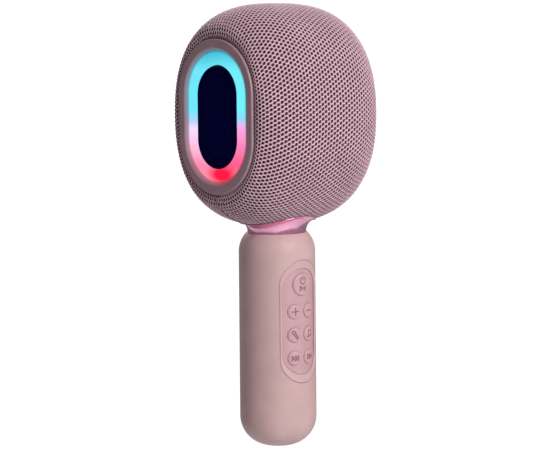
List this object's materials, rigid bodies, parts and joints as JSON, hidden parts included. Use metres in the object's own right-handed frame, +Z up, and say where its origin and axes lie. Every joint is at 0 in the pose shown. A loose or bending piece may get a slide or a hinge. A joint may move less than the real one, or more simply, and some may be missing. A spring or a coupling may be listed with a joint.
{
  "type": "karaoke microphone",
  "caption": "Handheld karaoke microphone: fabric-covered speaker head with stadium light rings on its sides, flared neck ring and a keypad let into a round handle.",
  "frame": {"origin": "centre of the handle's lower end, on its axis", "axes": "+Z up the handle towards the head, -Y is the keypad side, the light rings face +X and -X"},
  "size_m": [0.083, 0.0848, 0.2297],
  "materials": {
    "handle_soft_touch": "soft-touch satin",
    "keypad_plastic": "satin",
    "button_plastic": "satin",
    "neck_plating": "bright pink plating",
    "mesh_fabric": "knitted mesh",
    "bezel_plastic": "satin",
    "light_diffuser": "milky, lit from behind",
    "radiator_rubber": "matte",
    "radiator_plate": "gloss",
    "black_plastic": "satin",
    "frame_plastic": "satin",
    "circuit_board": "solder mask",
    "steel": "satin",
    "battery_wrap": "shrink sleeve",
    "magnet": "matte",
    "cone_paper": "matte",
    "copper": "enamelled wire",
    "foam": "open foam",
    "wire_sleeve": "satin"
  },
  "bodies": {
    "root": {"acoustic_box": "black_plastic", "acoustic_box_lid": "black_plastic", "battery_cell": "battery_wrap", "battery_chassis": "black_plastic", "charge_board": "circuit_board", "charge_board_screws": "steel", "chassis_screws": "steel", "driver_basket": "steel", "driver_magnet": "magnet", "driver_spider": "cone_paper", "driver_surround": "radiator_rubber", "driver_top_plate": "steel", "driver_yoke": "steel", "fabric_cover": "mesh_fabric", "frame_screws": "steel", "handle_collar": "black_plastic", "handle_shell": "handle_soft_touch", "head_frame_front": "frame_plastic", "head_frame_rear": "frame_plastic", "keypad_bezel": "keypad_plastic", "keypad_board": "circuit_board", "keypad_board_screws": "steel", "keypad_panel": "keypad_plastic", "led_board_left": "circuit_board", "led_board_right": "circuit_board", "leds_left": "light_diffuser", "leds_right": "light_diffuser", "lid_screws": "steel", "light_ring_left": "light_diffuser", "light_ring_right": "light_diffuser", "main_board": "circuit_board", "main_board_screws": "steel", "mic_boot": "radiator_rubber", "mic_capsule": "steel", "mic_foam": "foam", "mic_mount": "black_plastic", "neck_core": "black_plastic", "neck_ring": "neck_plating", "neck_screws": "steel", "radiator_frame_left": "black_plastic", "radiator_frame_right": "black_plastic", "radiator_surround_left": "radiator_rubber", "radiator_surround_right": "radiator_rubber", "side_bezel_left": "bezel_plastic", "side_bezel_right": "bezel_plastic", "socket_shell": "steel", "socket_tongue": "black_plastic", "switch_housings": "black_plastic", "wire_loom": "wire_sleeve"},
    "button_echo": {"button_echo": "button_plastic"},
    "button_minus": {"button_minus": "button_plastic"},
    "button_mode": {"button_mode": "button_plastic"},
    "button_next": {"button_next": "button_plastic"},
    "button_plus": {"button_plus": "button_plastic"},
    "button_power": {"button_power": "button_plastic"},
    "button_previous": {"button_previous": "button_plastic"},
    "cone": {"speaker_cone": "cone_paper", "voice_coil": "copper"},
    "radiator_left": {"radiator_plate_left": "radiator_plate"},
    "radiator_right": {"radiator_plate_right": "radiator_plate"}
  },
  "joints": [
    {"name": "echo_press", "type": "slide", "parent": "root", "child": "button_echo", "axis": [0, 1, 0], "range_m": [0, 0.0005], "stiffness_N_per_m": 1500},
    {"name": "minus_press", "type": "slide", "parent": "root", "child": "button_minus", "axis": [0, 1, 0], "range_m": [0, 0.0005], "stiffness_N_per_m": 1500},
    {"name": "mode_press", "type": "slide", "parent": "root", "child": "button_mode", "axis": [0, 1, 0], "range_m": [0, 0.0005], "stiffness_N_per_m": 1500},
    {"name": "next_press", "type": "slide", "parent": "root", "child": "button_next", "axis": [0, 1, 0], "range_m": [0, 0.0005], "stiffness_N_per_m": 1500},
    {"name": "plus_press", "type": "slide", "parent": "root", "child": "button_plus", "axis": [0, 1, 0], "range_m": [0, 0.0005], "stiffness_N_per_m": 1500},
    {"name": "power_press", "type": "slide", "parent": "root", "child": "button_power", "axis": [0, 1, 0], "range_m": [0, 0.0005], "stiffness_N_per_m": 1500},
    {"name": "previous_press", "type": "slide", "parent": "root", "child": "button_previous", "axis": [0, 1, 0], "range_m": [0, 0.0005], "stiffness_N_per_m": 1500},
    {"name": "cone_stroke", "type": "slide", "parent": "root", "child": "cone", "axis": [0, -1, 0], "range_m": [-0.001, 0.001], "stiffness_N_per_m": 1200},
    {"name": "radiator_left_stroke", "type": "slide", "parent": "root", "child": "radiator_left", "axis": [-1, 0, 0], "range_m": [-0.0015, 0.0015], "stiffness_N_per_m": 900},
    {"name": "radiator_right_stroke", "type": "slide", "parent": "root", "child": "radiator_right", "axis": [1, 0, 0], "range_m": [-0.0015, 0.0015], "stiffness_N_per_m": 900}
  ]
}
